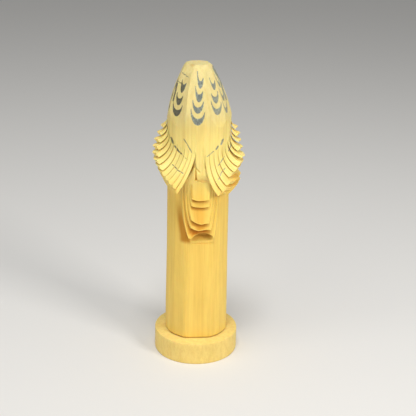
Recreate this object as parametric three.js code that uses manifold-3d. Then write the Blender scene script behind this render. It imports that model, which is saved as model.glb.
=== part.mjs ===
// Carved ancestor figure: a log carved with one knife into a capped, bearded elder,
// standing on a round base and held by two wood screws from below.
// Millimetres, +Z up. The face looks along -Y. The origin is the centre of the base's underside.
//
// The hair, brows and beard are shavings: thin leaves that stay joined to the log at their upper
// ends and are bent outward. Each leaf is the wood between two neighbouring knife cuts. A cut is a
// vertical plane that meets the log's surface at a front and a back azimuth, measured from the face.

import * as THREE from 'three';
import { mergeVertices } from 'three/addons/utils/BufferGeometryUtils.js';
import Module from 'manifold-3d';

const wasm = await Module();
wasm.setup();

// ---------------------------------------------------------------- driving dimensions
const BASE_RADIUS = 26.5;
const BASE_THICKNESS = 14.2;
const BASE_EDGE = 0.6; // small bevel on the base's rims
const BASE_SIDES = 64;
const FOOT_GAP = 0.3; // the log stands this far above the base: the glue line
const FIGURE_TOP = 186;
const LOG_RADIUS = 19.1; // where the shavings are cut
const LOG_SIDES = 36;
const CAP_SIDES = 9; // broad knife facets round the cap
const LEAF_FILL = 0.8; // share of the room between two cuts that a leaf takes
const LEAF_INSET = 0.06; // depth of a leaf's outer face behind its cut
const THINNEST_LEAF = 0.3;
const ROOT_DEPTH = 1.2; // how far a leaf's joined end reaches up into the log
const ROOT_WIDTH = 0.96; // the joined end's share of the leaf's width
const RAMP_TOP = 128; // below this height the fans' cuts run out to the surface
const RAMP_BOTTOM = 112;
const BACK_REACH = 0.95; // a leaf stops short of its back edge, where its cuts meet

// Radius of the log at each height, from the foot to the crown.
const LOG_PROFILE = [
  [19.2, BASE_THICKNESS + FOOT_GAP],
  [19.9, BASE_THICKNESS + FOOT_GAP + 0.8],
  [19.7, 32],
  [19.0, 70],
  [18.9, 104],
  [19.3, 150],
  [19.3, FIGURE_TOP + 1],
];
// Radius of the cap's facets at each height.
const CAP_BOTTOM = 146;
const CAP_PROFILE = [
  [22.5, CAP_BOTTOM],
  [20.1, 153],
  [18.2, 162],
  [15.4, 171],
  [11.9, 178.6],
  [8.9, 184],
  [7.4, FIGURE_TOP],
];

// Key values run from a fan's outermost, topmost cut to its innermost, longest one.
// front, back: azimuths in degrees where the cut meets the surface. root: height of the joined end.
// length: along the leaf. spread, start: angles from vertical at the free end and at the root.
// curl: how late the bend comes. slant: how much shorter the back edge is. round: rounded front
// corner. belly: how far the free end bulges. taper: narrowing towards the free end.
const RIGHT_FAN = {
  side: 1,
  cuts: 12,
  front: [88, 80, 64, 44, 25, 6.5],
  back: [108, 98, 95, 94, 93, 92],
  root: [152, 145.5, 141, 138.5, 136.5, 135],
  length: [7.5, 11.3, 16.2, 20.1, 23.8, 26.3],
  spread: [72, 80, 80, 67, 51, 33],
  start: [8, 8, 5, 0, 0, 0],
  curl: [0.8, 0.8, 1.1, 1.1, 1.2, 1.1],
  slant: [0, 0, 0.06, 0.1, 0.08, 0.1],
  round: [0.1, 0.1, 0.06, 0.05, 0.06, 0.04],
  belly: [0, 0, 0.02, 0.03, 0.05, 0.08],
  taper: [0.3, 0.3, 0.25, 0.2, 0.12, 0.08],
};
const LEFT_FAN = {
  side: -1,
  cuts: 13,
  front: [88, 80, 64, 44, 25, 9.5],
  back: [108, 98, 95, 94, 93, 92],
  root: [152.3, 146, 142.2, 139, 137.5, 137],
  length: [7.3, 11.9, 17.9, 20.6, 24, 28.5],
  spread: [72, 78, 72, 56, 50, 33],
  start: [8, 8, 5, 5, 8, 10],
  curl: [0.8, 0.8, 1.0, 1.0, 0.8, 0.5],
  slant: [0, 0, 0.06, 0.17, 0.27, 0.33],
  round: [0.1, 0.1, 0.06, 0.04, 0.05, 0.03],
  belly: [0, 0, 0.02, 0.03, 0.04, 0.05],
  taper: [0.3, 0.3, 0.25, 0.2, 0.12, 0.08],
};
// The beard: leaves cut from the front. Each row is one leaf from the lip down to the longest:
// half of its width as an azimuth, length, spread and the narrowing of its free end.
const BEARD_ROOT = 118;
const BEARD_LEAVES = [
  { half: 17, length: 10, spread: 25, taper: 0.08 },
  { half: 19, length: 14.6, spread: 15, taper: 0.2 },
  { half: 22, length: 24.4, spread: 15.5, taper: 0.27 },
  { half: 27.5, length: 29, spread: 16, taper: 0.27 },
  { half: 34, length: 33.2, spread: 18, taper: 0.28 },
];
const BEARD_POCKET_HALF = 40; // azimuth where the pocket behind the beard meets the surface
const BEARD_POCKET_BOTTOM = 80.4;

// Two countersunk wood screws, driven up through the base.
const SCREW = {
  places: [-9, 9], // along X
  shank: 1.75, // radii
  head: 3.4,
  headHeight: 2.4,
  length: 26,
  recess: 0.8, // depth of the head's face above the underside
  slotWidth: 0.9,
  slotDepth: 0.9,
  sides: 16,
};
const SCREW_CLEARANCE = 0.3;

// ---------------------------------------------------------------- small helpers
const WELD = 1e-3; // vertices closer than this are one
const OUTSIDE = 30; // a distance from the axis that is clear of every piece
const radians = THREE.MathUtils.degToRad;

/** The value at q, from 0 to 1, of evenly spaced key values. */
function along(keys, q) {
  const place = q * (keys.length - 1);
  const i = Math.min(Math.floor(place), keys.length - 2);
  return THREE.MathUtils.lerp(keys[i], keys[i + 1], place - i);
}

/** A manifold solid from a closed three.js geometry. */
function solid(geometry) {
  const bare = geometry.clone();
  bare.deleteAttribute('normal');
  bare.deleteAttribute('uv');
  const merged = mergeVertices(bare, WELD);
  const index = merged.index.array;
  const kept = [];
  for (let i = 0; i < index.length; i += 3) {
    const [a, b, c] = [index[i], index[i + 1], index[i + 2]];
    if (a !== b && b !== c && a !== c) kept.push(a, b, c); // a pole's triangles close up
  }
  return new wasm.Manifold(new wasm.Mesh({
    numProp: 3,
    vertProperties: Float32Array.from(merged.attributes.position.array),
    triVerts: Uint32Array.from(kept),
  }));
}

/** A three.js geometry from a manifold solid. */
function geometryOf(body) {
  const mesh = body.getMesh();
  const geometry = new THREE.BufferGeometry();
  geometry.setAttribute('position', new THREE.BufferAttribute(mesh.vertProperties, 3));
  geometry.setIndex(new THREE.BufferAttribute(mesh.triVerts, 1));
  geometry.computeVertexNormals();
  return geometry;
}

/** A turned solid about +Z from [radius, height] pairs, bottom to top. */
function turned(profile, sides, phase = 0) {
  const points = [[0, profile[0][1]], ...profile, [0, profile.at(-1)[1]]];
  const geometry = new THREE.LatheGeometry(points.map(([r, z]) => new THREE.Vector2(r, z)), sides);
  return geometry.rotateX(Math.PI / 2).rotateZ(phase);
}

// ---------------------------------------------------------------- shavings
/** One knife cut: its outward normal, its direction from front to back, and its place. */
function cut(side, front, back) {
  const middle = radians((front + back) / 2);
  const half = radians((back - front) / 2);
  return {
    azimuth: side * middle - Math.PI / 2,
    normal: new THREE.Vector3(side * Math.sin(middle), -Math.cos(middle), 0),
    across: new THREE.Vector3(side * Math.cos(middle), Math.sin(middle), 0),
    distance: LOG_RADIUS * Math.cos(half),
    halfWidth: LOG_RADIUS * Math.sin(half),
  };
}

/** Where a bent strip has got to, length s from its root: [outward, downward, angle]. */
function bend(leaf, s) {
  const steps = 10;
  const turn = leaf.spread - leaf.start;
  const angleAt = (x) => radians(leaf.start + turn * Math.pow(x / leaf.length, leaf.curl));
  let outward = 0;
  let downward = 0;
  for (let i = 0; i < steps; i++) {
    const angle = angleAt(((i + 0.5) / steps) * s);
    outward += (Math.sin(angle) * s) / steps;
    downward += (Math.cos(angle) * s) / steps;
  }
  return [outward, downward, angleAt(s)];
}

/** A shaving: the wood between its own cut and the next one in, bent outward from its root. */
function shaving(leaf) {
  const outer = cut(leaf.side, leaf.front, leaf.back);
  const inner = cut(leaf.side, leaf.innerFront, leaf.innerBack);
  const geometry = new THREE.BoxGeometry(2, 1, 1, 2, 1, 6);
  const position = geometry.attributes.position;
  const point = new THREE.Vector3();
  for (let i = 0; i < position.count; i++) {
    point.fromBufferAttribute(position, i);
    const mirrored = -leaf.side * point.x; // keeps the faces outward on both sides
    const a = mirrored > 0 ? mirrored * leaf.backReach : mirrored; // -1 at the front edge
    const inside = 0.5 - point.y; // 0 on the outer face, 1 on the inner
    const u = 0.5 - point.z; // 0 at the root, 1 at the free end
    const edgeLength = leaf.length * (1 - leaf.slant * Math.pow((a + 1) / 2, 1.3))
      * (1 - leaf.round * Math.pow(Math.max(0, -a), 3)) * (1 + leaf.belly * (1 - a * a));
    const s = u * (edgeLength + ROOT_DEPTH) - ROOT_DEPTH;
    const width = outer.halfWidth
      * (s > 0 ? 1 - leaf.taper * Math.pow(s / leaf.length, 2) : ROOT_WIDTH);
    const surface = outer.normal.clone().multiplyScalar(outer.distance)
      .addScaledVector(outer.across, a * outer.halfWidth);
    const room = (surface.dot(inner.normal) - inner.distance) / outer.normal.dot(inner.normal);
    const thickness = Math.max(LEAF_FILL * room, THINNEST_LEAF);
    const depth = LEAF_INSET + inside * thickness;
    const [outward, downward, angle] = s > 0 ? bend(leaf, s) : [0, s, 0];
    point.copy(outer.normal)
      .multiplyScalar(outer.distance + outward - depth * Math.cos(angle))
      .addScaledVector(outer.across, a * width);
    point.z = leaf.root - downward - depth * Math.sin(angle);
    position.setXYZ(i, point.x, point.y, point.z);
  }
  return solid(geometry);
}

/** A notch in the log behind a leaf's inner cut: a level roof, an upright wall and a ramp. */
function notch(leaf) {
  const inner = cut(leaf.side, leaf.innerFront, leaf.innerBack);
  const outline = new THREE.Shape([
    new THREE.Vector2(0, leaf.root),
    new THREE.Vector2(0, RAMP_TOP),
    new THREE.Vector2(LOG_RADIUS + 1 - inner.distance, RAMP_BOTTOM),
    new THREE.Vector2(OUTSIDE - inner.distance, RAMP_BOTTOM),
    new THREE.Vector2(OUTSIDE - inner.distance, leaf.root),
  ]);
  const width = 2 * inner.halfWidth + 3; // past the log's surface at both edges
  const block = new THREE.ExtrudeGeometry(outline, { depth: width, bevelEnabled: false, steps: 1 });
  block.translate(inner.distance, 0, -width / 2).rotateX(Math.PI / 2).rotateZ(inner.azimuth);
  return solid(block);
}

/** The leaves of a fan, from its outermost to its innermost: one between each pair of cuts. */
function fanLeaves(fan) {
  const at = (k) => {
    const q = k / (fan.cuts - 1);
    return {
      front: along(fan.front, q),
      back: along(fan.back, q),
      root: along(fan.root, q),
      length: along(fan.length, q),
      spread: along(fan.spread, q),
      start: along(fan.start, q),
      curl: along(fan.curl, q),
      slant: along(fan.slant, q),
      round: along(fan.round, q),
      belly: along(fan.belly, q),
      taper: along(fan.taper, q),
    };
  };
  return Array.from({ length: fan.cuts - 1 }, (_, k) => {
    const next = at(k + 1);
    return {
      side: fan.side, backReach: BACK_REACH, ...at(k), innerFront: next.front, innerBack: next.back,
    };
  });
}

/** The beard's leaves, from the lip's short one to the longest. */
function beardLeaves() {
  return BEARD_LEAVES.map((leaf, k) => {
    const nextHalf = BEARD_LEAVES[k + 1]?.half ?? BEARD_POCKET_HALF;
    return {
      side: 1, backReach: 1, root: BEARD_ROOT,
      front: -leaf.half, back: leaf.half, innerFront: -nextHalf, innerBack: nextHalf,
      length: leaf.length, spread: leaf.spread, taper: leaf.taper,
      start: 1, curl: 1, slant: 0, round: 0, belly: 0.03,
    };
  });
}

// ---------------------------------------------------------------- pieces
/** The log: a planed trunk whose top is pared to a blunt, faceted cap. */
function log() {
  const trunk = solid(turned(LOG_PROFILE, LOG_SIDES, radians(5)));
  const cap = solid(turned(CAP_PROFILE, CAP_SIDES, radians(10)));
  const top = trunk.intersect(cap);
  const overlap = 0.5; // the two halves share this much height, so they join
  const below = new THREE.BoxGeometry(2 * OUTSIDE, 2 * OUTSIDE, CAP_BOTTOM);
  below.translate(0, 0, CAP_BOTTOM / 2 + overlap);
  return trunk.intersect(solid(below)).add(top);
}

/** The pocket behind the beard, with a level ledge at its bottom. */
function beardPocket() {
  const pocket = cut(1, -BEARD_POCKET_HALF, BEARD_POCKET_HALF);
  const depth = OUTSIDE - pocket.distance;
  const height = BEARD_ROOT - BEARD_POCKET_BOTTOM;
  const block = new THREE.BoxGeometry(2 * OUTSIDE, depth, height);
  return solid(block.translate(0, -pocket.distance - depth / 2, BEARD_POCKET_BOTTOM + height / 2));
}

/** Outline of a screw, head down, grown by a clearance. */
function screwProfile(extra) {
  const bottom = SCREW.recess;
  const headTop = bottom + SCREW.headHeight;
  const tip = bottom + SCREW.length;
  return [
    [SCREW.head + extra, bottom],
    [SCREW.head + extra, bottom + 0.4], // the head's rim
    [SCREW.shank + extra, headTop],
    [SCREW.shank + extra, tip - 3], // where the point begins
    [0.3 + extra, tip + extra],
  ];
}

/** The hole that a screw needs, open at the base's underside. */
function screwHole(x) {
  const [rim, ...rest] = screwProfile(SCREW_CLEARANCE);
  const mouth = [rim[0], -1]; // below the underside, so the hole is open
  return solid(turned([mouth, rim, ...rest], SCREW.sides).translate(x, 0, 0));
}

/** The whole carving: the log, its notches and the leaves that the cuts leave standing. */
function carvedFigure() {
  const fans = [fanLeaves(RIGHT_FAN), fanLeaves(LEFT_FAN)];
  const removed = [beardPocket(), ...fans.flat().map(notch)];
  const carved = removed.reduce((body, part) => body.subtract(part), log());
  const leaves = [...fans.flat(), ...beardLeaves()];
  const dressed = leaves.reduce((body, leaf) => body.add(shaving(leaf)), carved);
  return SCREW.places.reduce((body, x) => body.subtract(screwHole(x)), dressed);
}

/** The sawn base, with its rims lightly bevelled. */
function baseDisc() {
  const disc = turned([
    [BASE_RADIUS - BASE_EDGE, 0],
    [BASE_RADIUS, BASE_EDGE],
    [BASE_RADIUS, BASE_THICKNESS - BASE_EDGE],
    [BASE_RADIUS - BASE_EDGE, BASE_THICKNESS],
  ], BASE_SIDES);
  return SCREW.places.reduce((body, x) => body.subtract(screwHole(x)), solid(disc));
}

/** A slotted wood screw, head down. */
function screw(x) {
  const slotLength = 2 * SCREW.head + 2;
  const slot = new THREE.BoxGeometry(SCREW.slotWidth, slotLength, 2 * SCREW.slotDepth);
  slot.translate(0, 0, SCREW.recess);
  const blank = solid(turned(screwProfile(0), SCREW.sides));
  return blank.subtract(solid(slot)).translate([x, 0, 0]);
}

// ---------------------------------------------------------------- assembly
const wood = new THREE.MeshStandardMaterial({ color: '#e8c678', roughness: 0.62, metalness: 0 });
const steel = new THREE.MeshStandardMaterial({ color: '#9a9a98', roughness: 0.35, metalness: 1 });

const figure = new THREE.Group();

/** Adds one named piece to the figure. */
function addPiece(name, body, material) {
  const mesh = new THREE.Mesh(geometryOf(body), material);
  mesh.name = name;
  figure.add(mesh);
}

addPiece('carved_figure', carvedFigure(), wood);
addPiece('base_disc', baseDisc(), wood);
addPiece('base_screw_left', screw(SCREW.places[0]), steel);
addPiece('base_screw_right', screw(SCREW.places[1]), steel);

export default figure;
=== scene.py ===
"""Looks of the carved ancestor figure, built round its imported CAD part.

Lengths are millimetres until a mesh is made. An azimuth is in degrees round the log from the way
the face looks, -Y, towards +X. The log is a height field: one radius for each azimuth and height.
A leaf is a shaving that stays joined at its top. It is cut out of the log at rest, and then bent.
"""

import math

import bpy
import numpy as np
from mathutils import Matrix, Vector
from mathutils.geometry import tessellate_polygon


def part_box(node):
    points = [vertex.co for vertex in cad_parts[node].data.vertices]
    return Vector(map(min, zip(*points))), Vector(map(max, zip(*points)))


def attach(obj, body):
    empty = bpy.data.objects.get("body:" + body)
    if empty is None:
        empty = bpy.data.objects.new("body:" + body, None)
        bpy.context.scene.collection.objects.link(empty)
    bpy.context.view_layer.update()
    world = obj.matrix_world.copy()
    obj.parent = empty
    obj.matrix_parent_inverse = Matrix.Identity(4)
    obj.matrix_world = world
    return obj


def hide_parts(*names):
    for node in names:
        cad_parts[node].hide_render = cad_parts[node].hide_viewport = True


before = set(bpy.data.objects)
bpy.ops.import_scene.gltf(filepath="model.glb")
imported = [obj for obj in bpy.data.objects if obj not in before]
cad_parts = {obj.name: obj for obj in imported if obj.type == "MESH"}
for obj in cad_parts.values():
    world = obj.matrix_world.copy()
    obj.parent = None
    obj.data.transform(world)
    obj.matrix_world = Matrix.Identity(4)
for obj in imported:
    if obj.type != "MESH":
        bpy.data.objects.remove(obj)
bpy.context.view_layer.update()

# ------------------------------------------------------------------ driving dimensions
MM = 0.001
base_low, base_high = (np.array(corner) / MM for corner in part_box("base_disc"))
figure_low, figure_high = (np.array(corner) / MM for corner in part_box("carved_figure"))
BASE_RADIUS = (base_high[0] - base_low[0]) / 2
BASE_TOP = base_high[2]
FOOT = figure_low[2]
CROWN = figure_high[2]
LOG_RADIUS = 19.1  # where the shavings are cut
SCREW_PLACES = (-9, 9)
BORE_RADIUS, BORE_TOP = 2.05, 27.2  # for a screw's shank, up into the log
HEAD_BORE_RADIUS, BORE_FLOOR = 3.7, 3.8  # for its head, from the base's underside
BORE_WEB = 0.2  # in the base a screw's two bores stop this far apart
BORE_SIDES = 24

LOG_PROFILE = dict(  # mean radius of the log at each height
    z=(FOOT, FOOT + 0.9, 32, 70, 104, 150, CROWN),
    radius=(19.15, 19.85, 19.7, 19.1, 18.95, 19.3, 19.3),
)
LOG_FACETS = 19  # long narrow flats that the knife left down the trunk
FACET_SHARE, FACET_UNEVEN = 0.991, 0.003  # a flat's distance from the axis, as a share of the radius
TRUNK_WAVE = dict(depth=0.08, length=30, seed=100)  # how unevenly the knife ran along the facets
CAP_WAVE = dict(depth=0.15, length=9, seed=200)
CAP_PROFILE = dict(  # distance of the cap's facets from its axis
    z=(146, 153, 159, 164, 168.7, 173.5, 178.3, 181.5, 183.2, 184.6, CROWN),
    distance=(20.3, 18.9, 17.7, 16.4, 14.95, 13.1, 11.0, 9.5, 8.7, 7.9, 6.9),
)
CAP_LEAN = -1.2  # how far the crown stands towards -X
CAP_LEAN_FROM = 150
# The cap's knife facets: azimuth, how much farther out than the profile at the crown, and the
# height and depth of the last paring that eases the crown's edge there.
CAP_FACETS = (
    (-166, 0, 1, 0.3), (-128, 0.2, 1.5, 0.4), (-92, 0.1, 1, 0.2), (-50, 0.9, 4.4, 1.7),
    (-6, 1.5, 2.4, 2.6), (35, 0.5, 1, 0.5), (66, 0.2, 0.8, 0.2), (104, 0, 1.6, 0.3),
    (150, 0.2, 1, 0.3),
)
KNOT = (-4.6, -5.2, 185.6)  # a small dark one at the crown's edge

# A leaf's values. front and back: azimuths of its cut's two ends. root: height of its top. start and
# spread: its lean at the top and at the tip, in degrees. curl: how late it bends. taper and
# narrowing: how much narrower its end is, and how late that comes. shift: the end's move towards
# its back edge. Shares of its length: slant, by which the back edge is shorter; round, the front
# corner; belly, by which the middle is longer; ragged, the ripple of its end; lip, how far its
# thickness stands below its outer face; uneven, the whole leaf. trim: how much of what lies outside
# its cut's two ends is pared off. weathered_and_painted_light and fade: how pale its outer face is,
# from weathering and as painted light on faces turned up to the lamps, and how much paler towards
# its back edge, painted light on the beard's +X side, which faces the key lamp.
LEAF_DEFAULTS = dict(
    narrowing=2, shift=0, ragged=0.01, lip=0.09, uneven=1, trim=0, weathered_and_painted_light=0.45, fade=0,
)
# Key values from a fan's outermost, topmost cut to its innermost, longest one, as in the CAD part.
RIGHT_FAN = dict(
    side=1, cuts=12, uneven=(0.96, 0.95, 0.87, 0.9, 0.96, 0.96, 0.93, 0.9, 1, 1.02, 1),
    front=(88, 80, 64, 44, 25, 6.5), back=(108, 98, 95, 94, 93, 92),
    root=(152, 145.5, 141, 138.5, 136.5, 135), length=(7.2, 10.8, 15.6, 18.8, 22.8, 25.5),
    spread=(72, 80, 80, 67, 51, 33), start=(8, 8, 5, 0, 0, 0), curl=(0.8, 0.8, 1.1, 1.1, 1.2, 1.1),
    slant=(0, 0, 0.06, 0.1, 0.04, 0.03), round=(0.1, 0.1, 0.06, 0.05, 0.06, 0.04),
    belly=(0.12, 0.1, 0.06, 0.04, 0.05, 0.08), taper=(0.3, 0.3, 0.25, 0.2, 0.12, 0.08),
)
LEFT_FAN = dict(
    side=-1, cuts=13, uneven=(0.86, 0.96, 0.98, 0.98, 0.98, 0.97, 0.98, 1, 1, 1, 1, 1),
    front=(88, 80, 64, 44, 25, 9.5), back=(108, 98, 95, 94, 93, 92),
    root=(152.3, 146, 142.2, 139, 137.5, 137), length=(7, 11.4, 16.8, 19.4, 22.4, 26),
    spread=(72, 78, 72, 56, 50, 33), start=(8, 8, 5, 5, 8, 10), curl=(0.8, 0.8, 1, 1, 0.8, 0.5),
    slant=(0, 0, 0.06, 0.17, 0.27, 0.33), round=(0.1, 0.1, 0.06, 0.04, 0.05, 0.03),
    belly=(0.12, 0.1, 0.05, 0.03, 0.04, 0.05), taper=(0.3, 0.3, 0.25, 0.2, 0.12, 0.08),
)
BEARD_ROOT = 118
BEARD_COMMON = dict(
    side=1, root=BEARD_ROOT, start=1, curl=1, slant=0, trim=0.5, lip=0, narrowing=3.2, weathered_and_painted_light=0,
    fade=0.85,
)
# From the lip's short leaf to the longest; half is the half width as an azimuth.
BEARD_LEAVES = (
    dict(half=17, length=10, spread=30, taper=0.08, belly=0.07, round=0.06, ragged=0.006),
    dict(half=19, length=14.6, spread=20, taper=0.2, belly=0.02, round=0.05, ragged=0.008),
    dict(
        half=22, length=24.7, spread=19.5, taper=0.34, shift=0.3, belly=0.02, round=0.085,
        ragged=0.014,
    ),
    dict(
        half=27.5, length=30.2, spread=16.8, taper=0.4, shift=1, belly=-0.01, round=0.07, slant=0.04,
        ragged=0.012,
    ),
    dict(
        half=34, length=39.2, spread=16.2, taper=0.38, shift=1.4, belly=-0.155, round=0.11, slant=0.11,
        ragged=0.014,
    ),
)
# The beard's last cut, along the floor of the pocket behind it.
POCKET_HALF, POCKET_CUT = 40, dict(spread=2, length=34)
POCKET_BOTTOM = 79.3
POCKET_RAMP = 4.2  # height over which the pocket's floor comes out to the surface
POCKET_WALL = 2.5  # how steeply its sides rise
POCKET_LEFT = dict(z=(POCKET_BOTTOM, 83, 90, 100, 112), x=(-5.0, -5.6, -7.2, -8.6, -10))
POCKET_RIGHT = dict(z=(POCKET_BOTTOM, 83, 86, 100, 112), x=(9.3, 7.4, 7.4, 8.4, 10))
RAMP_TOP, RAMP_BOTTOM = 128, 112  # the fans' cuts come out to the surface between these heights
FAN_CUT_START, BEARD_CUT_START = 0.4, 0.7  # how far below its leaf's root a cut begins in the log
FAN_RUN_OUT, POCKET_RUN_OUT = 1, 0.2  # how far past the surface the cuts and the pocket's floor end
CHIN_HEIGHT, CHIN_HALF = 6, 30  # the slope under the nose, and its reach as an azimuth
# Inside this radius and below this height the wood is a deeper orange, which comes in over the depth;
# it is the inner wood's colour and also painted shade in the cuts and gaps.
CORE_AND_SHADE = dict(radius=18.6, top=154, depth=2, height=6)
# The line down the log beside the beard's -X edge that the beard keeps the light from.
BEARD_SHADE = dict(z=(78, 84, 92, 102, 110), x=(-7.6, -7.8, -9.0, -10.2, -10.8))


# ------------------------------------------------------------------ small helpers
def keyed(values, q):
    """The value at q, from 0 to 1, of evenly spaced key values."""
    return float(np.interp(q, np.linspace(0, 1, len(values)), values))


def smoothstep(low, high, value):
    t = np.clip((value - low) / (high - low), 0, 1)
    return t * t * (3 - 2 * t)


def direction(azimuth):
    """Unit vectors across the log for azimuths in degrees, as an array of [x, y]."""
    angle = np.radians(azimuth)
    return np.stack([np.sin(angle), -np.cos(angle)], -1)


def ripple(t, count, seed):
    """A smooth random wave of t, about from -1 to 1, made of count sines."""
    random = np.random.default_rng(seed)
    total = np.zeros_like(np.asarray(t, float))
    for k in range(count):
        total += np.sin(t * (k + 1) + random.uniform(0, 2 * math.pi)) * random.uniform(0.4, 1) / (k + 1)
    return total / 1.5


def flat(distance, centre, azimuth):
    """Radius at azimuth of a flat that lies distance from the axis and faces centre."""
    cosine = np.cos(np.radians(azimuth - centre))
    return np.where(cosine > 0.2, distance / np.maximum(cosine, 0.2), np.inf)


def knife_wave(z, facet, depth, length, seed):
    """How far out of true a facet is at height z."""
    return depth * ripple(z / length, 3, seed + facet)


# ------------------------------------------------------------------ the log
def planed_radius(azimuth, z):
    """The log before the shavings are cut: long flats on the trunk and broad facets on the cap."""
    azimuth, z = np.broadcast_arrays(np.asarray(azimuth, float), np.asarray(z, float))
    trunk = np.interp(z, LOG_PROFILE["z"], LOG_PROFILE["radius"])
    radius = trunk * (1 + FACET_UNEVEN)
    random = np.random.default_rng(11)
    for k in range(LOG_FACETS):
        centre = (k + random.uniform(-0.3, 0.3)) * 360 / LOG_FACETS
        share = FACET_SHARE + random.uniform(-FACET_UNEVEN, FACET_UNEVEN)
        wave = knife_wave(z, k, **TRUNK_WAVE)
        radius = np.minimum(radius, flat(trunk * share + wave, centre, azimuth))
    cap = np.interp(z, CAP_PROFILE["z"], CAP_PROFILE["distance"])
    rise = np.clip((z - CAP_LEAN_FROM) / (CROWN - CAP_LEAN_FROM), 0, 1)
    for k, (centre, extra, pared, paring) in enumerate(CAP_FACETS):
        lean = CAP_LEAN * math.sin(math.radians(centre))
        wave = knife_wave(z, k, **CAP_WAVE)
        eased = paring * np.clip((z - CROWN + pared) / pared, 0, 1)
        radius = np.minimum(radius, flat(cap + (lean + extra) * rise + wave - eased, centre, azimuth))
    return radius


def cut(side, front, back):
    """A knife cut: its outward and across directions, distance and half width, and its azimuth."""
    middle, half = side * (front + back) / 2, math.radians((back - front) / 2)
    outward = direction(middle)
    across = side * np.array([-outward[1], outward[0]])
    return outward, across, LOG_RADIUS * math.cos(half), LOG_RADIUS * math.sin(half), middle


def chord_plane(one, z):
    """Distance and azimuth of the plane through a cut's two ends on the log's surface at height z."""
    first, last = (surface_point(one["side"] * one[key], z) for key in ("front", "back"))
    along = one["side"] * (last - first)
    outward = np.array([along[1], -along[0]]) / np.hypot(*along)
    return float(outward @ first), math.degrees(math.atan2(outward[0], -outward[1]))


def fan_leaves(fan):
    """The leaves of a fan, each with the next cut, which is its inner face, as its "inner"."""
    names = [name for name in fan if name not in ("side", "cuts", "uneven")]
    last = fan["cuts"] - 1
    uneven = (*fan["uneven"], 1)
    cuts = [
        dict(
            LEAF_DEFAULTS, side=fan["side"], uneven=uneven[k],
            **{name: keyed(fan[name], k / last) for name in names},
        )
        for k in range(fan["cuts"])
    ]
    return [dict(own, inner=following) for own, following in zip(cuts, cuts[1:])]


def beard_leaves():
    """The beard's leaves, from the lip's short one to the longest."""
    common = {**LEAF_DEFAULTS, **BEARD_COMMON}
    cuts = [dict(common, front=-leaf["half"], back=leaf["half"], **leaf) for leaf in BEARD_LEAVES]
    for before, leaf in zip(cuts, cuts[1:]):
        leaf["covered"] = before["length"]
    cuts.append(dict(cuts[-1], front=-POCKET_HALF, back=POCKET_HALF, **POCKET_CUT))
    return [dict(own, inner=following) for own, following in zip(cuts, cuts[1:])]


def fan_cut_radius(azimuth, z):
    """The log with the wood of both fans taken out of it."""
    radius = planed_radius(azimuth, z)
    for leaf in RIGHT_LEAVES + LEFT_LEAVES:
        inner = leaf["inner"]
        _, _, distance, _, middle = cut(leaf["side"], inner["front"], inner["back"])
        ramp = np.clip((RAMP_TOP - z) / (RAMP_TOP - RAMP_BOTTOM), 0, 1)
        notch = flat(distance + ramp * (LOG_RADIUS + FAN_RUN_OUT - distance), middle, azimuth)
        radius = np.where(z < leaf["root"] - FAN_CUT_START, np.minimum(radius, notch), radius)
    return radius


def incised(radius, azimuth, z, path, half_width, depth):
    """The radius with a V groove along a path of (azimuth, height, share of the depth) points."""
    x, groove = np.radians(azimuth) * LOG_RADIUS, np.zeros_like(radius)
    for (az0, z0, share0), (az1, z1, share1) in zip(path, path[1:]):
        x0, x1 = math.radians(az0) * LOG_RADIUS, math.radians(az1) * LOG_RADIUS
        dx, dz = x1 - x0, z1 - z0
        t = np.clip(((x - x0) * dx + (z - z0) * dz) / (dx * dx + dz * dz), 0, 1)
        away = np.hypot(x - x0 - t * dx, z - z0 - t * dz)
        share = share0 + (share1 - share0) * t
        groove = np.maximum(groove, share * np.clip(1 - away / half_width, 0, 1))
    return radius - depth * groove


def log_radius(azimuth, z):
    """The whole carved log."""
    radius = fan_cut_radius(azimuth, z)
    pocket = LOG_RADIUS * math.cos(math.radians(POCKET_HALF))
    ramp = np.clip((POCKET_BOTTOM + POCKET_RAMP - z) / POCKET_RAMP, 0, 1)
    behind_beard = flat(pocket + ramp * (LOG_RADIUS + POCKET_RUN_OUT - pocket), 0, azimuth)
    x = np.sin(np.radians(azimuth)) * LOG_RADIUS
    left = np.interp(z, POCKET_LEFT["z"], POCKET_LEFT["x"])
    right = np.interp(z, POCKET_RIGHT["z"], POCKET_RIGHT["x"])
    wall = POCKET_WALL * np.maximum(0, np.maximum(left - x, x - right))
    radius = np.where(z < BEARD_ROOT - BEARD_CUT_START, np.minimum(radius, behind_beard + wall), radius)
    # Under the nose the face slopes back to the lip's leaf.
    lip_half = BEARD_LEAVES[0]["half"]
    lip, centre = chord_plane(dict(side=1, front=-lip_half, back=lip_half), BEARD_ROOT)
    chin = flat(lip + (LOG_RADIUS - lip) * smoothstep(0, CHIN_HEIGHT, z - BEARD_ROOT), centre, azimuth)
    sloped = (z < BEARD_ROOT + CHIN_HEIGHT) & (np.abs(azimuth) < CHIN_HALF)
    radius = np.where(sloped, np.minimum(radius, chin), radius)
    for path, half_width, depth in GROOVES:
        radius = incised(radius, azimuth, z, path, half_width, depth)
    return radius


GROOVES = (  # path of (azimuth, height, share of the depth), half width, depth
    (((-10.4, 131, 0), (-9.8, 126, 0.6), (-8.4, 118.6, 1), (-4, 118.3, 0.9), (1, 118.5, 0)), 0.8, 1.8),
    (((-8.4, 126.9, 1), (-4, 125.3, 1), (-0.5, 123.9, 0)), 0.55, 0.8),  # the nose's nick
    (((-2.1, 142, 0), (2.5, 136.5, 1), (6, 131.5, 1)), 0.35, 0.2),  # the knife's overrun
    # the stop cut at the foot of the beard's pocket
    (((-17, 79.2, 0), (-15, 79.1, 1), (27, 79.0, 1), (29, 79.2, 0)), 0.4, 0.45),
)


def graded(*runs):
    """Heights from (end, step) runs that follow one another, starting at the first run's end."""
    heights = [runs[0][0]]
    for end, step in runs[1:]:
        count = max(1, round((end - heights[-1]) / step))
        heights.extend(np.linspace(heights[-1], end, count + 1)[1:])
    return np.array(heights)


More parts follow.
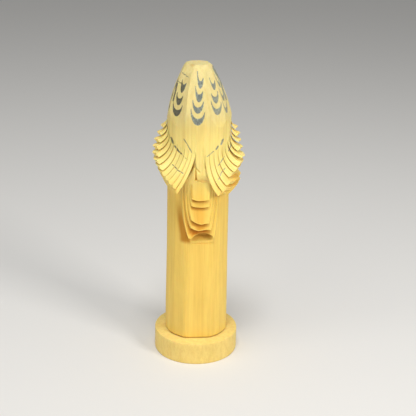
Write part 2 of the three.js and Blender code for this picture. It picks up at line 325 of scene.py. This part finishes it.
def make_mesh(name, vertices, faces, rest=None, painted=None, weathered_and_painted_light=0, painted_shade_and_knot=0, sharp=35):
    """A mesh object from millimetres, with the attributes that its material reads.

    For each vertex rest is its place before bending, painted whether ink can reach it,
    weathered_and_painted_light how far its colour has gone back to the outside's, from weathering and
    as painted light on faces turned to the lamps, and painted_shade_and_knot how dark painted shade in
    the cuts and gaps, and the crown's knot, make it.
    """
    vertices = np.asarray(vertices, float)
    mesh = bpy.data.meshes.new(name)
    mesh.from_pydata((vertices * MM).tolist(), [], faces)
    rest = vertices if rest is None else np.asarray(rest, float)
    ink = np.minimum(crescent_distance(rest), stroke_distance(vertices))
    if painted is not None:
        ink = np.where(painted, ink, FAR)
    # Under its pale outside the wood is a deeper orange, most of all behind the beard: the inner wood's
    # colour, and also painted shade in the cuts and gaps.
    x, y, z = rest.T
    core_and_shade = np.clip((CORE_AND_SHADE["radius"] - np.hypot(x, y)) / CORE_AND_SHADE["depth"], 0, 1)
    core_and_shade *= np.clip((CORE_AND_SHADE["top"] - z) / CORE_AND_SHADE["height"], 0, 1)
    core_and_shade *= 1 - 0.15 * smoothstep(BEARD_ROOT, BEARD_ROOT + 4, z)
    core_and_shade *= 0.35 + 0.65 * smoothstep(POCKET_BOTTOM + 2, POCKET_BOTTOM + 7, z)
    core_and_shade *= 1 - np.asarray(weathered_and_painted_light)
    painted_shade_and_knot = np.broadcast_to(painted_shade_and_knot, len(rest)).astype(float)
    for attribute, values in (("painted_shade_and_knot", painted_shade_and_knot), ("core_and_shade", core_and_shade), ("ink", ink)):
        mesh.attributes.new(attribute, "FLOAT", "POINT").data.foreach_set("value", values)
    mesh.attributes.new("rest", "FLOAT_VECTOR", "POINT").data.foreach_set("vector", rest.ravel())
    mesh.shade_smooth()
    mesh.set_sharp_from_angle(angle=math.radians(sharp))
    piece = bpy.data.objects.new(name, mesh)
    bpy.context.scene.collection.objects.link(piece)
    return piece


def ring_faces(start, following, count):
    """Quads from the ring of count vertices at index start to the ring at following."""
    return [
        (start + j, start + (j + 1) % count, following + (j + 1) % count, following + j)
        for j in range(count)
    ]


def tube_faces(rows, columns):
    """Quads between rows rings, each of columns vertices."""
    faces = []
    for row in range(rows - 1):
        faces += ring_faces(row * columns, (row + 1) * columns, columns)
    return faces


def make_log():
    """The carved log, its mesh finest where it is cut, bored from below for both screws."""
    azimuth = np.arange(-180, 180, 1.0)
    z = graded((FOOT, 0), (FOOT + 0.9, 0.3), (77, 2.2), (130, 0.4), (152, 0.44), (CROWN, 0.62))
    grid_azimuth, grid_z = np.meshgrid(azimuth, z)
    radius = log_radius(grid_azimuth, grid_z)
    xy = direction(grid_azimuth) * radius[..., None]
    vertices = np.concatenate([xy, grid_z[..., None]], -1).reshape(-1, 3)
    count = len(azimuth)
    faces = tube_faces(len(z), count)
    # The crown closes in rings towards its middle.
    start = (len(z) - 1) * count
    rim = vertices[start:]
    for share in (0.94, 0.7, 0.4, 0.15):
        ring = rim * (share, share, 1)
        first = len(vertices)
        vertices = np.concatenate([vertices, ring])
        faces += ring_faces(start, first, count)
        start = first
    faces.append(tuple(range(start, start + count)))
    vertices, faces = close_with_bores(vertices, faces, range(count), BORE_TOP)
    return make_mesh("figure_log", vertices, faces, painted_shade_and_knot=log_painted_shade_and_knot(vertices))


def log_painted_shade_and_knot(places):
    """Painted shade deep in the log's cuts, the beard's painted shadow beside its -X edge, and the
    crown's dark knot.
    """
    x, y, z = places.T
    azimuth = np.degrees(np.arctan2(x, -y))
    radius = np.hypot(x, y)
    # Painted shade, darker the deeper a place lies inside the uncut log.
    deep = np.clip((planed_radius(azimuth, z) - radius - 0.3) / 2.5, 0, 1)
    deep *= (radius > 11) & (z < 153) & (z > POCKET_BOTTOM + 6.5)
    # Painted shadow that the beard casts on the log beside its -X edge.
    edge = np.interp(z, BEARD_SHADE["z"], BEARD_SHADE["x"])
    beside = smoothstep(-4.9, -2.6, x - edge) * smoothstep(2.6, 1.4, x - edge) * (y < 0)
    beside = beside * smoothstep(109, 92, z) * smoothstep(78, 81, z)
    # The knot is the wood's own dark colour.
    knot = smoothstep(2.2, 0.8, np.hypot(np.hypot(x - KNOT[0], y - KNOT[1]), z - KNOT[2]))
    return np.maximum(np.maximum(deep, beside), 0.45 * knot)


def close_with_bores(vertices, faces, rim, depth_end, radius=BORE_RADIUS):
    """Fills a flat rim, leaving a blind bore for each screw that ends at height depth_end."""
    level = vertices[rim[0]][2]
    upwards = depth_end < level
    turn = np.linspace(0, 2 * math.pi, BORE_SIDES + 1)[:-1]
    loops, indices = [[Vector(vertices[i]) for i in rim]], list(rim)
    for x in SCREW_PLACES:
        mouth = len(vertices)
        bottom = mouth + BORE_SIDES
        heights = np.full(BORE_SIDES, level)
        ring = np.stack([x + radius * np.cos(turn), radius * np.sin(turn), heights], -1)
        deep = ring.copy()
        deep[:, 2] = depth_end
        vertices = np.concatenate([vertices, ring, deep])
        loops.append([Vector(point) for point in ring])
        indices += range(mouth, bottom)
        walls = ring_faces(mouth, bottom, BORE_SIDES)
        end = tuple(range(bottom, bottom + BORE_SIDES))
        faces = faces + ([wall[::-1] for wall in walls] + [end] if upwards else walls + [end[::-1]])
    for triangle in tessellate_polygon(loops):
        a, b, c = (indices[i] for i in triangle)
        area = np.cross(vertices[b][:2] - vertices[a][:2], vertices[c][:2] - vertices[a][:2])
        faces.append((a, b, c) if (area > 0) == upwards else (a, c, b))
    return vertices, faces


# ------------------------------------------------------------------ the base
def make_base():
    """The sawn disc, its rim a little uneven and its edges eased, bored for both screws."""
    azimuth = np.arange(-180, 180, 1.5)
    eased, shoulder = 0.7, 0.2  # the edge's rounding, and how far in its middle is
    profile = [(BASE_RADIUS - eased, 0), (BASE_RADIUS - shoulder, 0.18), (BASE_RADIUS, eased)]
    profile += [(BASE_RADIUS, z) for z in np.linspace(2, BASE_TOP - 2, 6)]
    profile += [
        (BASE_RADIUS, BASE_TOP - eased), (BASE_RADIUS - shoulder, BASE_TOP - shoulder),
        (BASE_RADIUS - eased, BASE_TOP),
    ]
    angle = np.radians(azimuth)
    uneven = 0.12 * (ripple(angle, 9, 21) - 1) * (np.cos(np.radians(azimuth * 2)) ** 2 * 0.5 + 0.5)
    count = len(azimuth)
    rows = []
    for radius, z in profile:
        share = 1 if radius > BASE_RADIUS - 0.5 else 0.5
        xy = direction(azimuth) * (radius + uneven * share)[:, None]
        rows.append(np.concatenate([xy, np.full((count, 1), z)], 1))
    vertices = np.concatenate(rows)
    faces = tube_faces(len(rows), count)
    top = range((len(rows) - 1) * count, len(rows) * count)
    vertices, faces = close_with_bores(vertices, faces, top, BORE_FLOOR)
    head_end = BORE_FLOOR - BORE_WEB
    vertices, faces = close_with_bores(vertices, faces, range(count), head_end, HEAD_BORE_RADIUS)
    return make_mesh("base_round", vertices, faces, sharp=30)


# ------------------------------------------------------------------ shavings
LEAF_STEPS = 44  # along a leaf
LEAF_WIDTHS = 10  # across a leaf's faces
BACK_WIDTHS, STRIP_WIDTHS = 3, 7  # across the strips of the log's surface on its back and front edges
ROOT_DEPTH = 1.5  # how far a leaf's top reaches into the log
ROOT_SINK = 0.3  # how far that top lies under the log's surface
INNER = 0.98  # the innerness from which a point is on the inner face
BEND_STEPS, BEND_REACH = 160, 1.4  # how finely a bend is summed up, and over how many of its lengths
EDGE_WEAR = 0.09  # width of the small bevel on sharp edges


def surface_point(azimuth, z):
    """The [x, y] point of the uncut log's surface."""
    return direction(azimuth) * planed_radius(azimuth, z)[..., None]


def leaf_section(leaf):
    """The leaf's outline at rest, as [x, y] points, and how near each is to its inner face."""
    side, root, inner_cut = leaf["side"], leaf["root"], leaf["inner"]
    share = np.linspace(0, 1, LEAF_WIDTHS)[:, None]

    def chord(one):
        ends = [surface_point(side * one[key], root) for key in ("front", "back")]
        return ends[0] * (1 - share) + ends[1] * share

    def strip(start, end, count):
        t = np.linspace(0, 1, count + 1)[1:-1]
        return surface_point(side * (start + (end - start) * t), root), t

    back, back_share = strip(leaf["back"], inner_cut["back"], BACK_WIDTHS)
    front, front_share = strip(inner_cut["front"], leaf["front"], STRIP_WIDTHS)
    points = np.concatenate([chord(leaf), back, chord(inner_cut)[::-1], front])
    outer, inner = np.zeros(LEAF_WIDTHS), np.ones(LEAF_WIDTHS)
    return points, np.concatenate([outer, back_share, inner, 1 - front_share])


def bend(leaf, points, s):
    """Where [x, y] points of the log's section go, s below the leaf's root, when the leaf bends."""
    outward_way, across, distance, _, _ = cut(leaf["side"], leaf["front"], leaf["back"])
    length = leaf["length"]
    steps = np.linspace(0, BEND_REACH * length, BEND_STEPS)
    eased = leaf["start"] * (1 - np.exp(-steps / 1.2))
    angle = np.radians(eased + (leaf["spread"] - leaf["start"]) * (steps / length) ** leaf["curl"])
    middle = (angle[1:] + angle[:-1]) / 2
    outward = np.concatenate([[0], np.cumsum(np.sin(middle) * np.diff(steps))])
    downward = np.concatenate([[0], np.cumsum(np.cos(middle) * np.diff(steps))])
    depth = distance - points @ outward_way
    sideways = points @ across
    below = np.maximum(s, 0)
    out, down, turn = (np.interp(below, steps, values) for values in (outward, downward, angle))
    turn = np.where(s < 0, 0, turn)
    narrowing = np.minimum(below / length, 1.2) ** leaf["narrowing"]
    aside = sideways * (1 - leaf["taper"] * narrowing) + leaf["shift"] * narrowing
    xy = outward_way * (distance + out - depth * np.cos(turn))[..., None]
    xy = xy + across * aside[..., None]
    z = leaf["root"] - down - np.minimum(s, 0) - depth * np.sin(turn)
    return np.concatenate([xy, z[..., None]], -1)


def leaf_length(leaf, a, innerness, seed):
    """The leaf's length at points of its outline. a goes from -1 at its front edge to 1 at its back."""
    length = leaf["length"] * (1 - leaf["slant"] * ((a + 1) / 2) ** 1.3)
    length *= (1 - leaf["round"] * np.maximum(0, -a) ** 3) * (1 + leaf["belly"] * (1 - a * a))
    length *= 1 + leaf["ragged"] * ripple(a * 5, 4, seed)
    lip = leaf["lip"] * np.sin(innerness * 2) * (0.65 - 0.35 * a) ** 2
    return length * (leaf["uneven"] * (1 + lip))


def leaf_shade(leaf, a, innerness, s, u):
    """How dark the leaf is painted s below its root, a share u of its length: painted shade on its
    inner face and along its front edge, and painted shadow where the leaf before covers it.
    """
    shade = 0.7 * (innerness > INNER) * smoothstep(0.95, 0.2, u)
    front = 0.75 * smoothstep(0, 0.2 * leaf["length"], s[:, 0]) * smoothstep(1, 0.9, u[:, 0])
    shade[:, 0] = 0 if "covered" in leaf else front
    if "covered" in leaf:  # the leaf before this one kept its upper part from the light
        end = leaf["covered"] * (1 + 0.04 * (1 - a * a))
        covered = smoothstep(end + 2.3, end + 0.8, s) * smoothstep(0, 7, s)
        covered = covered * smoothstep(-1, -0.8, a) * smoothstep(0.8, 0.35, a)
        shade = np.maximum(shade, 0.8 * (innerness < 1 - INNER) * covered)
    return shade


def leaf_faces(count):
    """Quads round a leaf whose outline has count points, and its two ends."""
    faces = tube_faces(LEAF_STEPS, count)
    # An end has quads between the outer face and the inner one, and one face at each edge.
    inner = [2 * LEAF_WIDTHS + BACK_WIDTHS - 2 - j for j in range(LEAF_WIDTHS)]
    end = [[j, j + 1, inner[j + 1], inner[j]] for j in range(LEAF_WIDTHS - 1)]
    end.append([0, *range(inner[0], count)])
    end.append(list(range(LEAF_WIDTHS - 1, LEAF_WIDTHS + BACK_WIDTHS)))
    last = (LEAF_STEPS - 1) * count
    faces += [tuple(face) for face in end]
    faces += [tuple(last + j for j in face[::-1]) for face in end]
    return faces


def leaf_mesh(leaf, seed, fill, limit=None):
    """One leaf's vertices and faces, and for each vertex make_mesh's rest, ink reach, weathering and
    painted light, and painted shade.

    fill is the share of the gap to the next leaf that the wood's own thickness closes up. limit is
    the radius of the wood that the leaf is cut from, where that isn't the whole log.
    """
    points, innerness = leaf_section(leaf)
    _, across, _, half_width, _ = cut(leaf["side"], leaf["front"], leaf["back"])
    sideways = points @ across
    a = np.clip(sideways / half_width, -1, 1)
    u = np.linspace(0, 1, LEAF_STEPS)[:, None]
    s = u * (leaf_length(leaf, a, innerness, seed) + ROOT_DEPTH) - ROOT_DEPTH
    rest_z = leaf["root"] - s
    loop = np.broadcast_to(points, (LEAF_STEPS, *points.shape)).copy()
    trim = leaf["trim"] * smoothstep(0, 0.5 * leaf["length"], s)
    excess = np.sign(sideways) * np.maximum(0, np.abs(sideways) - half_width)
    loop -= across * (excess * trim)[..., None]
    if limit is not None:
        azimuth = np.degrees(np.arctan2(points[:, 0], -points[:, 1]))
        reach = limit(np.broadcast_to(azimuth, rest_z.shape), rest_z)
        radius = np.hypot(points[:, 0], points[:, 1])
        scale = np.minimum(1, (reach - 0.12 * innerness) / radius)
        loop *= scale[..., None]
    inner_cut = leaf["inner"]
    own = bend(leaf, loop, s)
    following = bend(inner_cut, loop, s + inner_cut["root"] - leaf["root"])
    share = innerness * fill * np.clip(s / 3, 0, 1) * (1 - 0.4 * smoothstep(-0.6, 1, a) * u ** 3)
    share = share[..., None]
    vertices = own * (1 - share) + following * share
    # The top of the leaf sinks into the wood it hangs from.
    sink = ROOT_SINK * np.clip((-s - FAN_CUT_START) / (ROOT_DEPTH - FAN_CUT_START), 0, 1)
    vertices[:, :, :2] *= (1 - sink / LOG_RADIUS)[..., None]
    rest = np.concatenate([loop, rest_z[..., None]], -1)
    painted = np.broadcast_to(innerness < INNER, s.shape)
    # The outer faces and strips are paler, from weathering and as painted light, the beard's most on
    # its +X side, which faces the key lamp; the ends are paler still.
    pale = leaf["weathered_and_painted_light"] + leaf["fade"] * smoothstep(0.15, 0.85, a)
    weathered_and_painted_light = np.maximum(u > 0.999, pale * (innerness < INNER))
    painted_shade_and_knot = leaf_shade(leaf, a, innerness, s, u)
    of_vertices = (painted.ravel(), weathered_and_painted_light.ravel(), painted_shade_and_knot.ravel())
    return (vertices.reshape(-1, 3), leaf_faces(len(points)), rest.reshape(-1, 3), *of_vertices)


def make_leaves(name, leaves, seed, fills, limit=None):
    """One piece that holds a run of leaves."""
    meshes, faces, total = [], [], 0
    for k, leaf in enumerate(leaves):
        mesh = leaf_mesh(leaf, seed + k, fills[k], limit)
        turned = leaf["side"] > 0
        faces += [tuple(i + total for i in (face[::-1] if turned else face)) for face in mesh[1]]
        total += len(mesh[0])
        meshes.append(mesh)
    vertices, _, *attributes = zip(*meshes)
    attributes = [np.concatenate(values) for values in attributes]
    piece = make_mesh(name, np.concatenate(vertices), faces, *attributes)
    bevel = piece.modifiers.new("worn_edges", "BEVEL")
    bevel.width, bevel.segments, bevel.angle_limit = EDGE_WEAR * MM, 1, math.radians(40)
    bevel.limit_method = "ANGLE"
    return piece


# ------------------------------------------------------------------ ink
FAR = 9.0  # the ink attribute away from any mark
TIP_RISE, TIP_WIDTH = 0.3, 0.45  # how a crescent's hollow is set above it, and each tip's width
# Crescents in columns round the cap, each from its lowest up: azimuth, height of the bottom, width,
# heights of the tips on the -X and +X sides above that, and thickness.
CRESCENTS = (
    (-7.5, 153.4, 8.4, 9.5, 7.5, 3.5), (-7.5, 160.1, 6.6, 7.5, 6.8, 3.2),
    (-6.0, 166.4, 4.6, 8.8, 6.0, 4.0), (-3.5, 173.9, 3.8, 9.2, 5.8, 3.6),
    (33, 158.5, 7.8, 8.6, 7.0, 3.2), (33, 165.0, 5.4, 6.0, 6.6, 3.4),
    (35, 172.3, 3.8, 7.0, 5.2, 3.2),
    (-52, 156.9, 8.2, 7.6, 7.0, 3.4), (-51, 163.3, 5.6, 7.2, 5.8, 3.6),
    (-48, 170.5, 4.2, 7.2, 6.0, 4.4),
    (62, 158.0, 6.5, 8.5, 7.0, 2.8), (62, 165.0, 5.0, 8.0, 6.5, 2.8),
    (64, 172.5, 3.6, 8.0, 6.0, 3.0),
    (-85, 157.5, 7.5, 8.0, 7.5, 3.2), (-85, 164.5, 5.8, 7.4, 6.6, 3.2),
    (-85, 171.5, 4.0, 7.4, 6.0, 3.4),
    (-125, 155.5, 8.2, 8.6, 8.0, 3.4), (-125, 162.5, 6.2, 7.4, 7.0, 3.2),
    (-125, 169.5, 4.4, 7.6, 6.4, 3.6),
    (-165, 156.5, 8.0, 8.2, 8.4, 3.4), (-165, 163.5, 5.8, 7.4, 6.8, 3.3),
    (-165, 170.5, 4.2, 7.4, 6.6, 3.6),
    (105, 156.5, 8.2, 8.4, 7.8, 3.4), (105, 163.5, 6.0, 7.6, 6.8, 3.2),
    (105, 170.5, 4.2, 7.6, 6.2, 3.6),
    (150, 155.5, 8.0, 8.2, 8.6, 3.4), (150, 162.5, 6.0, 7.4, 7.2, 3.2),
    (150, 169.5, 4.2, 7.8, 6.4, 3.6),
)
# Strokes brushed from the front, over log and shavings alike: half width, and a path of (x, z)
# points.
STROKES = (
    # -X side: the brow, the broken line beside it, and the short line lower down the shavings
    (0.27, (-10, 144.5), (-8, 141.5), (-5.5, 137)),
    (0.55, (-17, 143), (-16, 140.5)),
    (0.5, (-15, 139), (-13.5, 137.5)),
    (0.5, (-13.5, 137), (-11.5, 135.5)),
    (0.22, (-11.5, 135.5), (-8, 132.5)),
    (0.32, (-16.5, 128.5), (-15, 127.5), (-13, 126), (-10.5, 125)),
    # +X side: the broken brow, and the dashes down the shavings
    (0.6, (13, 143.5), (12, 141)),
    (0.5, (10, 140), (9, 138.5)),
    (0.22, (7.5, 137.5), (3.5, 134.5)),
    (0.4, (19, 139), (17, 135.5)),
    (0.28, (14, 133), (12.5, 131), (10.5, 128.5)),
    (0.28, (14.5, 126.5), (12, 124), (10.5, 120.5)),
    # the cap: two slashes and a thin line on its -X side, and a band that thins down its +X side
    (0.3, (-10.5, 181), (-7.5, 179.5)),
    (0.3, (-13, 176), (-11.5, 175.5)),
    (0.35, (-13.5, 175), (-16, 165)),
    (0.72, (7.5, 184), (9, 181), (11.5, 177)),
    (0.45, (11.5, 177), (13, 171.5), (15.5, 165)),
)


def ellipse_distance(x, y, a, b):
    """About how far [x, y] is outside an ellipse of half axes a and b."""
    k0 = np.hypot(x / a, y / b)
    k1 = np.hypot(x / a ** 2, y / b ** 2)
    return k0 * (k0 - 1) / np.maximum(k1, 1e-6)


def crescent_distance(rest):
    """How far each place at rest is outside the cap's crescents."""
    x, y, z = rest.T
    azimuth = np.degrees(np.arctan2(x, -y))
    radius = np.hypot(x, y)
    nearest = np.full(len(rest), FAR)
    for column, bottom, width, low_side, high_side, thick in CRESCENTS:
        across = np.radians((azimuth - column + 180) % 360 - 180) * radius
        height = np.where(across < 0, low_side, high_side)
        up = z - bottom - height
        outer = ellipse_distance(across, up, width / 2, height)
        inner = ellipse_distance(across, up - TIP_RISE, width / 2 - TIP_WIDTH, height - thick)
        nearest = np.minimum(nearest, np.maximum(np.maximum(outer, -inner), up))
    return nearest


def stroke_distance(places):
    """How far each place that faces the front is outside the brush strokes."""
    x, y, z = places.T
    nearest = np.full(len(places), FAR)
    for half_width, *points in STROKES:
        for (x0, z0), (x1, z1) in zip(points, points[1:]):
            dx, dz = x1 - x0, z1 - z0
            t = np.clip(((x - x0) * dx + (z - z0) * dz) / (dx * dx + dz * dz), 0, 1)
            nearest = np.minimum(nearest, np.hypot(x - x0 - t * dx, z - z0 - t * dz) - half_width)
    return np.where(y < 0, nearest, FAR)


# ------------------------------------------------------------------ materials
class Nodes:
    """Short ways to add shader nodes to a material."""

    def __init__(self, name):
        self.material = bpy.data.materials.new(name)
        self.material.use_nodes = True
        self.tree = self.material.node_tree
        self.tree.nodes.clear()

    def put(self, socket, value):
        if hasattr(value, "is_output"):
            self.tree.links.new(value, socket)
        else:
            socket.default_value = value

    def add(self, kind, inputs=(), **settings):
        made = self.tree.nodes.new("ShaderNode" + kind)
        for key, value in settings.items():
            setattr(made, key, value)
        for key, value in dict(inputs).items():
            self.put(made.inputs[key], value)
        return made

    def attribute(self, name):
        return self.add("Attribute", attribute_name=name)

    def noise(self, place, scale, detail=3, roughness=0.6):
        """Noise of place stretched by scale, along x, y and z."""
        space = self.add("Mapping", {"Vector": place, "Scale": scale}).outputs[0]
        inputs = {"Vector": space, "Scale": 1, "Detail": detail, "Roughness": roughness}
        return self.add("TexNoise", inputs).outputs[0]

    def math(self, operation, *values):
        return self.add("Math", enumerate(values), operation=operation).outputs[0]

    def spread(self, value, low, high, to_low=0, to_high=1):
        ends = {"Value": value, "From Min": low, "From Max": high, "To Min": to_low, "To Max": to_high}
        return self.add("MapRange", ends).outputs[0]

    def mix(self, share, a, b, blend="MIX"):
        made = self.add("Mix", data_type="RGBA", blend_type=blend)
        for key, value in (("Factor", share), ("A", a), ("B", b)):
            socket = made.inputs[0] if key == "Factor" else next(
                s for s in made.inputs if s.name == key and s.type == "RGBA")
            self.put(socket, value)
        return next(s for s in made.outputs if s.type == "RGBA")

    def tint(self, share, body, colour):
        """body with its colour multiplied by this one, as far as share says."""
        return self.mix(share, body, (*colour, 1), "MULTIPLY")

    def ramp(self, value, stops):
        made = self.add("ValToRGB", {"Fac": value})
        elements = made.color_ramp.elements
        while len(elements) < len(stops):
            elements.new(0.5)
        for element, (place, colour) in zip(elements, stops):
            element.position, element.color = place, colour
        return made.outputs["Color"]

    def surface(self, colour, roughness, normal, **values):
        inputs = {"Base Color": colour, "Roughness": roughness, "Normal": normal}
        shader = self.add("BsdfPrincipled", inputs)
        for key, value in values.items():
            shader.inputs[key.replace("_", " ")].default_value = value
        self.add("OutputMaterial", {"Surface": shader.outputs[0]})
        return self.material


def wood(name, colours, ink=False, painted_shade_and_stain=False, cross=1.0):
    """Peeled softwood. colours are (height, colour) stops up the piece; cross shortens the grain."""
    n = Nodes(name)
    place = n.attribute("rest").outputs["Vector"]
    split = n.add("SeparateXYZ", {"Vector": place})
    across, height = split.outputs["X"], split.outputs["Z"]
    wander = n.noise(place, (0.25, 0.25, 0.05), 2)
    share = n.spread(n.math("MULTIPLY_ADD", wander, 10, height), 5, CROWN + 5)
    body = n.ramp(share, [(z / CROWN, (*colour, 1)) for z, colour in colours])
    fibre = n.noise(place, (2.4, 2.4, 0.05 * cross), 3)
    streak = n.noise(place, (0.5, 0.5, 0.012 * cross), 3)
    blotch = n.noise(place, (0.1, 0.1, 0.04), 3)
    speck = n.noise(place, (3.0, 3.0, 1.2), 2)
    # A deeper orange inside: the inner wood's colour, and also painted shade in the cuts and gaps.
    body = n.tint(n.attribute("core_and_shade").outputs["Fac"], body, (0.84, 0.53, 0.12))
    # Painted shade in the cuts, between and under the shavings and beside the beard, and the crown's
    # dark knot.
    painted_shade_and_knot = n.math("MULTIPLY", n.attribute("painted_shade_and_knot").outputs["Fac"], 0.9)
    body = n.tint(painted_shade_and_knot, body, (0.60, 0.36, 0.06))
    if painted_shade_and_stain:  # painted shadow along the foot's edge, where it stands on the base
        body = n.tint(n.spread(height, FOOT + 0.9, FOOT + 0.2, 0, 0.8), body, (0.5, 0.33, 0.16))
    for noise, low, high, most, colour in (
        (fibre, 0.45, 0.75, 0.36, (0.80, 0.72, 0.58)),
        (streak, 0.42, 0.66, 0.42, (0.84, 0.76, 0.62)),
        (blotch, 0.4, 0.7, 0.45, (0.86, 0.84, 0.76)),
        (speck, 0.66, 0.74, 0.35, (0.70, 0.60, 0.45)),
    ):
        body = n.tint(n.spread(noise, low, high, 0, most), body, colour)
    if ink:
        body = inked(n, body, place, across)
    roughness = n.spread(fibre, 0.3, 0.7, 0.5, 0.68)
    grain = n.math("MULTIPLY_ADD", streak, 0.6, fibre)
    normal = n.add("Bump", {"Height": grain, "Strength": 0.35, "Distance": 0.0002}).outputs[0]
    return n.surface(
        body, roughness, normal,
        Subsurface_Weight=0.2, Subsurface_Radius=(1.0, 0.4, 0.1), Subsurface_Scale=0.0012,
        Specular_IOR_Level=0.3,
    )


def inked(n, body, place, across):
    """The wood's colour under thin grey-blue ink, ragged at its edges and patchy inside them."""
    ragged = n.noise(place, (1.5, 1.5, 1.5), 3)
    edge = n.math("MULTIPLY_ADD", ragged, 0.7, n.attribute("ink").outputs["Fac"])
    cover = n.spread(edge, 0.5, 0.2)
    mottle = n.noise(place, (1.0, 1.0, 0.5), 4, 0.7)
    tone = n.ramp(mottle, [
        (0.3, (0.07, 0.095, 0.11, 1)), (0.52, (0.16, 0.2, 0.2, 1)), (0.72, (0.42, 0.46, 0.4, 1)),
    ])
    # The brush was full for the -X columns and nearly dry for the +X ones.
    tone = n.tint(n.spread(across, -5, -11, 0, 0.85), tone, (0.30, 0.25, 0.19))
    return n.mix(n.math("MULTIPLY", cover, n.spread(across, 3, 11, 0.92, 0.8)), body, tone)


def steel():
    """Bright-drawn steel of the screws, scuffed and a little stained."""
    n = Nodes("screw_steel")
    place = n.add("TexCoord").outputs["Object"]
    scuff = n.noise(place, (900, 900, 5000), 4, 0.7)
    painted_shade_and_stain = n.noise(place, (260, 260, 260), 3)
    colour = n.ramp(painted_shade_and_stain, [(0.35, (0.30, 0.29, 0.27, 1)), (0.6, (0.56, 0.55, 0.53, 1))])
    roughness = n.spread(scuff, 0.3, 0.7, 0.25, 0.5)
    normal = n.add("Bump", {"Height": scuff, "Strength": 0.3, "Distance": 0.00004}).outputs[0]
    return n.surface(colour, roughness, normal, Metallic=1.0)


# ------------------------------------------------------------------ build
RIGHT_LEAVES, LEFT_LEAVES = fan_leaves(RIGHT_FAN), fan_leaves(LEFT_FAN)
# The share of the gap behind each leaf that its own thickness closes up.
RIGHT_FILL = (0.6, 0.65, 0.3, 0.7, 0.1, 0.7, 0.7, 0.72, 0.7, 0.5, 0)
LEFT_FILL = (0.5, 0.6, 0.7, 0.75, 0.7, 0.7, 0.75, 0.78, 0.75, 0.78, 0.65, 0)
BEARD_FILL = (0.1, 0.1, 0.1, 0.1, 0.2)
# Colours up the figure by height. The paler band from 124 to 142, where the shavings fan out, is in
# part painted light on their faces turned up to the lamps.
FIGURE_COLOURS = (
    (20, (0.93, 0.66, 0.155)), (108, (0.93, 0.64, 0.135)), (124, (0.96, 0.79, 0.27)),
    (142, (0.95, 0.77, 0.25)), (150, (0.86, 0.68, 0.225)), (158, (0.78, 0.65, 0.275)),
    (CROWN, (0.75, 0.64, 0.285)),
)
# The figure's wood carries its ink and a painted shadow along the foot's edge.
figure_wood = wood("figure_wood", FIGURE_COLOURS, ink=True, painted_shade_and_stain=True)
BASE_COLOUR = (0.92, 0.69, 0.22)
base_wood = wood("base_wood", ((0, BASE_COLOUR), (CROWN, BASE_COLOUR)), cross=14)
FIGURE, BASE = ("carved_figure", "figure_wood", figure_wood), ("base_disc", "base_wood", base_wood)
pieces = (
    (make_log(), *FIGURE),
    (make_leaves("shavings_right", RIGHT_LEAVES, 300, RIGHT_FILL), *FIGURE),
    (make_leaves("shavings_left", LEFT_LEAVES, 400, LEFT_FILL), *FIGURE),
    (make_leaves("beard_shavings", beard_leaves(), 500, BEARD_FILL, fan_cut_radius), *FIGURE),
    (make_base(), *BASE),
)
for piece, node, slot, material in pieces:
    piece.data.materials.append(material)
    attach(piece, "root")
    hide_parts(node)

screw_steel = steel()
for name in ("base_screw_left", "base_screw_right"):
    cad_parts[name].data.materials.clear()
    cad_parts[name].data.materials.append(screw_steel)

# ------------------------------------------------------------------ stage
bpy.ops.mesh.primitive_plane_add(size=6)
floor = bpy.context.object
floor.name = "floor"
floor_material = bpy.data.materials.new("floor_paint")
floor_material.use_nodes = True
floor_shader = floor_material.node_tree.nodes["Principled BSDF"]
floor_shader.inputs["Base Color"].default_value = (0.78, 0.77, 0.75, 1)
floor_shader.inputs["Roughness"].default_value = 0.9
floor.data.materials.append(floor_material)


def area_light(name, azimuth, elevation, distance, size, power, colour):
    """A soft square lamp that looks at the figure's middle."""
    data = bpy.data.lights.new(name, "AREA")
    data.size, data.energy, data.color = size, power, colour
    lamp = bpy.data.objects.new(name, data)
    bpy.context.scene.collection.objects.link(lamp)
    level = math.cos(math.radians(elevation))
    x, y = direction(azimuth) * level
    way = Vector((x, y, math.sin(math.radians(elevation))))
    target = Vector((0, 0, 0.1))
    lamp.location = target + way * distance
    lamp.rotation_euler = way.to_track_quat("Z", "Y").to_euler()


# Azimuth and elevation, distance and size in metres, power in watts, and colour.
area_light("key", 44, 28, 1.0, 0.3, 4.7, (1.0, 0.97, 0.93))
area_light("fill", -56, 32, 1.2, 0.9, 3.4, (1.0, 0.97, 0.91))
area_light("top", -10, 68, 1.0, 0.3, 5.2, (0.98, 0.99, 1.0))
world = bpy.data.worlds.new("studio")
world.use_nodes = True
world.node_tree.nodes["Background"].inputs["Color"].default_value = (0.98, 0.98, 0.97, 1)
world.node_tree.nodes["Background"].inputs["Strength"].default_value = 0.3
bpy.context.scene.world = world
bpy.context.scene.view_settings.view_transform = "Standard"

# ------------------------------------------------------------------ camera
CAMERA_DISTANCE, CAMERA_HEIGHT = 0.520, 0.2945
CAMERA_AZIMUTH, CAMERA_TURN, CAMERA_PITCH, CAMERA_ROLL = -4.5, -0.7, 20.95, 1.25
SENSOR, LENS = 36.0, 77.9


def make_camera():
    """The camera in front of the figure, a little above it, looking down and slightly rolled."""
    stand = direction(CAMERA_AZIMUTH) * CAMERA_DISTANCE
    heading = math.radians(CAMERA_AZIMUTH + CAMERA_TURN)
    pitch, roll = math.radians(CAMERA_PITCH), math.radians(CAMERA_ROLL)
    level = Vector((-math.sin(heading), math.cos(heading), 0))
    right = Vector((math.cos(heading), math.sin(heading), 0))
    up = level * math.sin(pitch) + Vector((0, 0, math.cos(pitch)))
    forward = level * math.cos(pitch) - Vector((0, 0, math.sin(pitch)))
    tilted_right = right * math.cos(roll) + up * math.sin(roll)
    tilted_up = up * math.cos(roll) - right * math.sin(roll)
    data = bpy.data.cameras.new("camera")
    data.sensor_width, data.lens = SENSOR, LENS
    camera = bpy.data.objects.new("camera", data)
    bpy.context.scene.collection.objects.link(camera)
    rotation = Matrix((tilted_right, tilted_up, -forward)).transposed()
    camera.matrix_world = Matrix.Translation((*stand, CAMERA_HEIGHT)) @ rotation.to_4x4()
    bpy.context.scene.camera = camera


make_camera()
